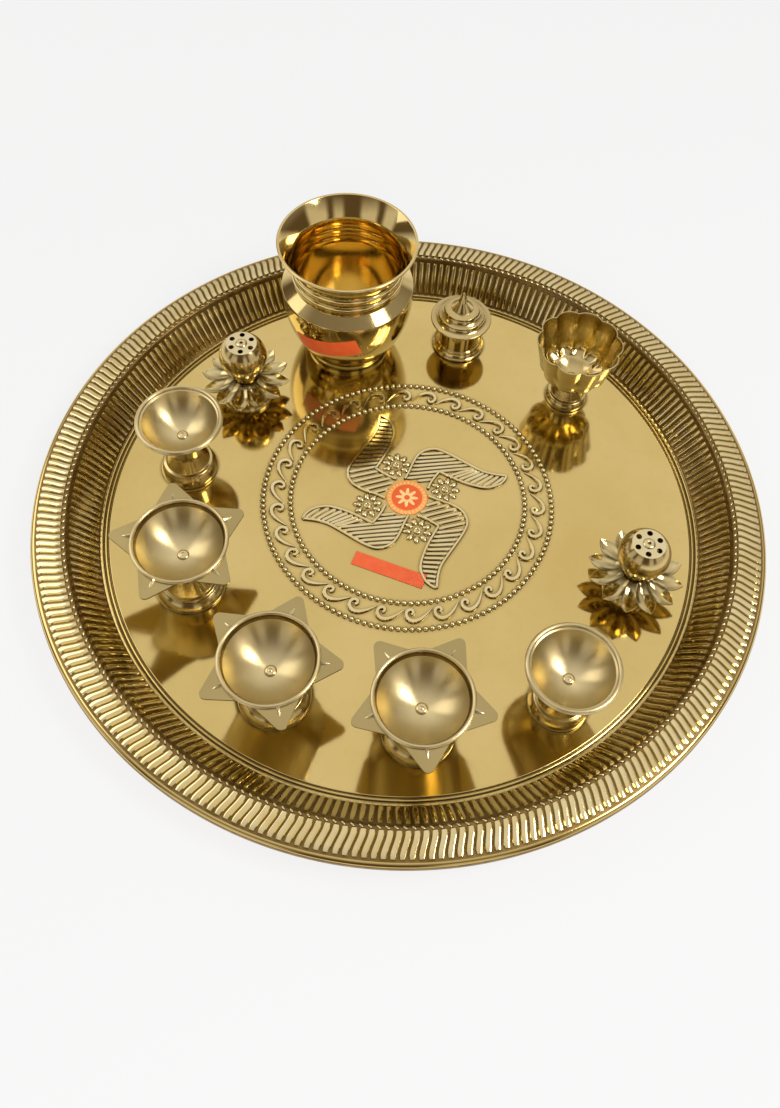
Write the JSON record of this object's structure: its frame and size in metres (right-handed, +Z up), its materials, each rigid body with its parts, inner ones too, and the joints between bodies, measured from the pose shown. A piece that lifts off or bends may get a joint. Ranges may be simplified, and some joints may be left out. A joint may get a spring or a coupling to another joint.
{
  "type": "puja thali set",
  "caption": "Round pressed brass tray with a ribbed rim, carrying a water pot, a lidded powder box, a scalloped cup, oil lamps and lotus incense stands that lift off.",
  "frame": {"origin": "centre of the tray's underside, where it rests", "axes": "+Z up; -Y towards the viewer of the picture; +X to the viewer's right"},
  "size_m": [0.356, 0.356, 0.0762],
  "materials": {
    "tray_brass": "satin pressed sheet",
    "vessel_brass": "polished",
    "star_brass": "polished bowl with a matte flange",
    "petal_brass": "bright stamped sheet",
    "rivet_brass": "polished",
    "paper_label": "bare orange-red paper",
    "round_label": "printed orange paper with a plain flower"
  },
  "bodies": {
    "tray": {"tray": "tray_brass", "tray_round_label": "round_label", "tray_label": "paper_label"},
    "kalash": {"kalash": "vessel_brass", "kalash_label": "paper_label"},
    "kumkum_box": {"kumkum_box": "vessel_brass"},
    "kumkum_lid": {"kumkum_lid": "vessel_brass"},
    "cup": {"cup_bowl": "vessel_brass", "cup_foot": "vessel_brass", "cup_rivet": "rivet_brass"},
    "diya_left": {"diya_left_bowl": "vessel_brass", "diya_left_foot": "vessel_brass", "diya_left_rivet": "rivet_brass"},
    "diya_right": {"diya_right_bowl": "vessel_brass", "diya_right_foot": "vessel_brass", "diya_right_rivet": "rivet_brass"},
    "star_a": {"star_a_bowl": "star_brass", "star_a_foot": "vessel_brass", "star_a_rivet": "rivet_brass"},
    "star_b": {"star_b_bowl": "star_brass", "star_b_foot": "vessel_brass", "star_b_rivet": "rivet_brass"},
    "star_c": {"star_c_bowl": "star_brass", "star_c_foot": "vessel_brass", "star_c_rivet": "rivet_brass"},
    "incense_left": {"incense_left_foot": "vessel_brass", "incense_left_petals": "petal_brass", "incense_left_collar": "vessel_brass", "incense_left_ball": "vessel_brass", "incense_left_rivet": "rivet_brass"},
    "incense_right": {"incense_right_foot": "vessel_brass", "incense_right_petals": "petal_brass", "incense_right_collar": "vessel_brass", "incense_right_ball": "vessel_brass", "incense_right_rivet": "rivet_brass"}
  },
  "joints": [
    {"name": "kalash_lift", "type": "slide", "parent": "tray", "child": "kalash", "axis": [0, 0, 1], "range_m": [0, 0.09]},
    {"name": "kumkum_box_lift", "type": "slide", "parent": "tray", "child": "kumkum_box", "axis": [0, 0, 1], "range_m": [0, 0.09]},
    {"name": "kumkum_lid_lift", "type": "slide", "parent": "kumkum_box", "child": "kumkum_lid", "axis": [0, 0, 1], "range_m": [0, 0.09]},
    {"name": "cup_lift", "type": "slide", "parent": "tray", "child": "cup", "axis": [0, 0, 1], "range_m": [0, 0.09]},
    {"name": "diya_left_lift", "type": "slide", "parent": "tray", "child": "diya_left", "axis": [0, 0, 1], "range_m": [0, 0.09]},
    {"name": "diya_right_lift", "type": "slide", "parent": "tray", "child": "diya_right", "axis": [0, 0, 1], "range_m": [0, 0.09]},
    {"name": "star_a_lift", "type": "slide", "parent": "tray", "child": "star_a", "axis": [0, 0, 1], "range_m": [0, 0.09]},
    {"name": "star_b_lift", "type": "slide", "parent": "tray", "child": "star_b", "axis": [0, 0, 1], "range_m": [0, 0.09]},
    {"name": "star_c_lift", "type": "slide", "parent": "tray", "child": "star_c", "axis": [0, 0, 1], "range_m": [0, 0.09]},
    {"name": "incense_left_lift", "type": "slide", "parent": "tray", "child": "incense_left", "axis": [0, 0, 1], "range_m": [0, 0.09]},
    {"name": "incense_right_lift", "type": "slide", "parent": "tray", "child": "incense_right", "axis": [0, 0, 1], "range_m": [0, 0.09]}
  ]
}
